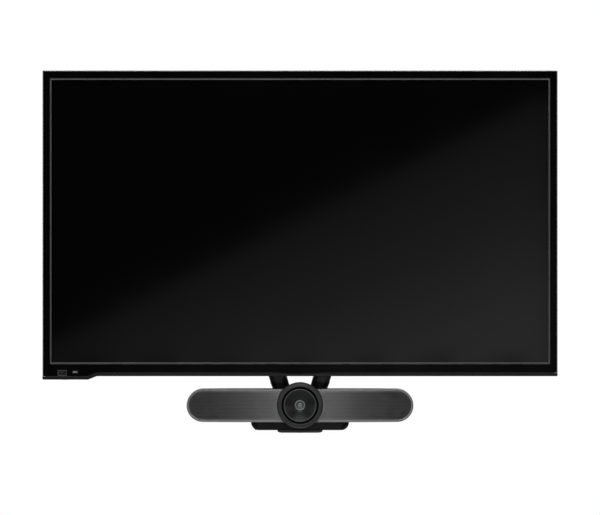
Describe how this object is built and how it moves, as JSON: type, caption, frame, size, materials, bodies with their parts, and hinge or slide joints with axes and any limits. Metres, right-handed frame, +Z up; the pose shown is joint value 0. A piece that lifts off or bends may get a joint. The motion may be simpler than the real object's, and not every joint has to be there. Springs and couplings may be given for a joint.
{
  "type": "wall mounted smart display with camera bar",
  "caption": "Flat wall display with a narrow bezel, and a rounded camera and speaker bar held under it on a black steel V bracket.",
  "frame": {"origin": "centre of the 200 x 200 mm wall-mount hole pattern, on the rear faces of its four standoffs", "axes": "+Z up, +X to the viewer's right, screen facing -Y, +Y towards the wall"},
  "size_m": [0.916, 0.1186, 0.6456],
  "materials": {
    "casing_black": "fine satin moulded",
    "trim_grey": "satin",
    "screen_glass": "semi-gloss, dark when off",
    "white_plastic": "matte",
    "clear_plastic": "clear acrylic",
    "sheet_steel": "zinc plated",
    "circuit_green": "solder mask",
    "ribbon": "film",
    "module_black": "matte",
    "window_dark": "smoked, glossy",
    "led_lens": "frosted",
    "socket_black": "matte",
    "screw_steel": "black zinc",
    "arm_steel": "black powder coat",
    "pad_rubber": "matte",
    "bar_black": "fine satin",
    "bar_rim_grey": "satin metallic grey",
    "grille_steel": "perforated, dark grey",
    "ring_grey": "satin dark grey",
    "eye_black": "satin",
    "lens_clear": "coated"
  },
  "bodies": {
    "display": {"front_bezel": "casing_black", "bottom_trim": "casing_black", "screen_trim": "trim_grey", "lcd_panel": "screen_glass", "panel_frame": "white_plastic", "optical_sheets": "clear_plastic", "light_guide": "clear_plastic", "reflector_sheet": "white_plastic", "led_strip": "circuit_green", "backlight_pan": "sheet_steel", "main_board": "circuit_green", "power_board": "circuit_green", "timing_board": "circuit_green", "panel_ribbons": "ribbon", "speaker_left": "module_black", "speaker_right": "module_black", "sensor_window": "window_dark", "status_led": "led_lens", "sensor_board": "circuit_green", "rear_cover": "casing_black", "power_inlet": "socket_black", "jack_panel": "socket_black", "rear_cover_screws": "screw_steel", "board_screws": "screw_steel", "vesa_inserts": "screw_steel", "vesa_standoffs": "screw_steel", "arm_left": "arm_steel", "arm_right": "arm_steel", "arm_pivot_bolts": "screw_steel", "mount_plate": "arm_steel", "clamp_nut": "sheet_steel"},
    "button": {"power_button": "casing_black"},
    "camera_bar": {"camera_shelf": "arm_steel", "shelf_pad": "pad_rubber", "shelf_screws": "screw_steel", "base_body": "bar_black", "bar_rear_housing": "bar_black", "bar_frame_left": "bar_rim_grey", "bar_frame_right": "bar_rim_grey", "speaker_grille_left": "grille_steel", "speaker_grille_right": "grille_steel", "driver_left": "module_black", "driver_right": "module_black", "mic_board": "circuit_green", "bar_main_board": "circuit_green", "bar_ports": "socket_black", "bar_screws": "screw_steel", "camera_ring": "ring_grey", "camera_pod": "bar_black", "gimbal_bracket": "module_black"},
    "yoke": {"pan_yoke": "module_black", "pan_motor": "module_black", "tilt_motor": "module_black"},
    "eye": {"eye_shell": "eye_black", "lens_barrel": "module_black", "lens_glass": "lens_clear", "image_sensor": "circuit_green"},
    "knob": {"thumbscrew": "bar_black"}
  },
  "joints": [
    {"name": "power_button_press", "type": "slide", "parent": "display", "child": "button", "axis": [0, 0, 1], "range_m": [0, 0.0008], "stiffness_N_per_m": 400, "springref_m": -0.0008},
    {"name": "shelf_slide", "type": "slide", "parent": "display", "child": "camera_bar", "axis": [0, -1, 0], "range_m": [0, 0.02]},
    {"name": "clamp_turn", "type": "hinge", "parent": "display", "child": "knob", "pos_m": [0, -0.032, -0.365], "axis": [0, 0, 1], "continuous": true},
    {"name": "camera_pan", "type": "hinge", "parent": "camera_bar", "child": "yoke", "pos_m": [0, -0.102, -0.3222], "axis": [0, 0, 1], "range_deg": [-25, 25]},
    {"name": "camera_tilt", "type": "hinge", "parent": "yoke", "child": "eye", "pos_m": [0, -0.102, -0.3222], "axis": [1, 0, 0], "range_deg": [-15, 15]}
  ]
}
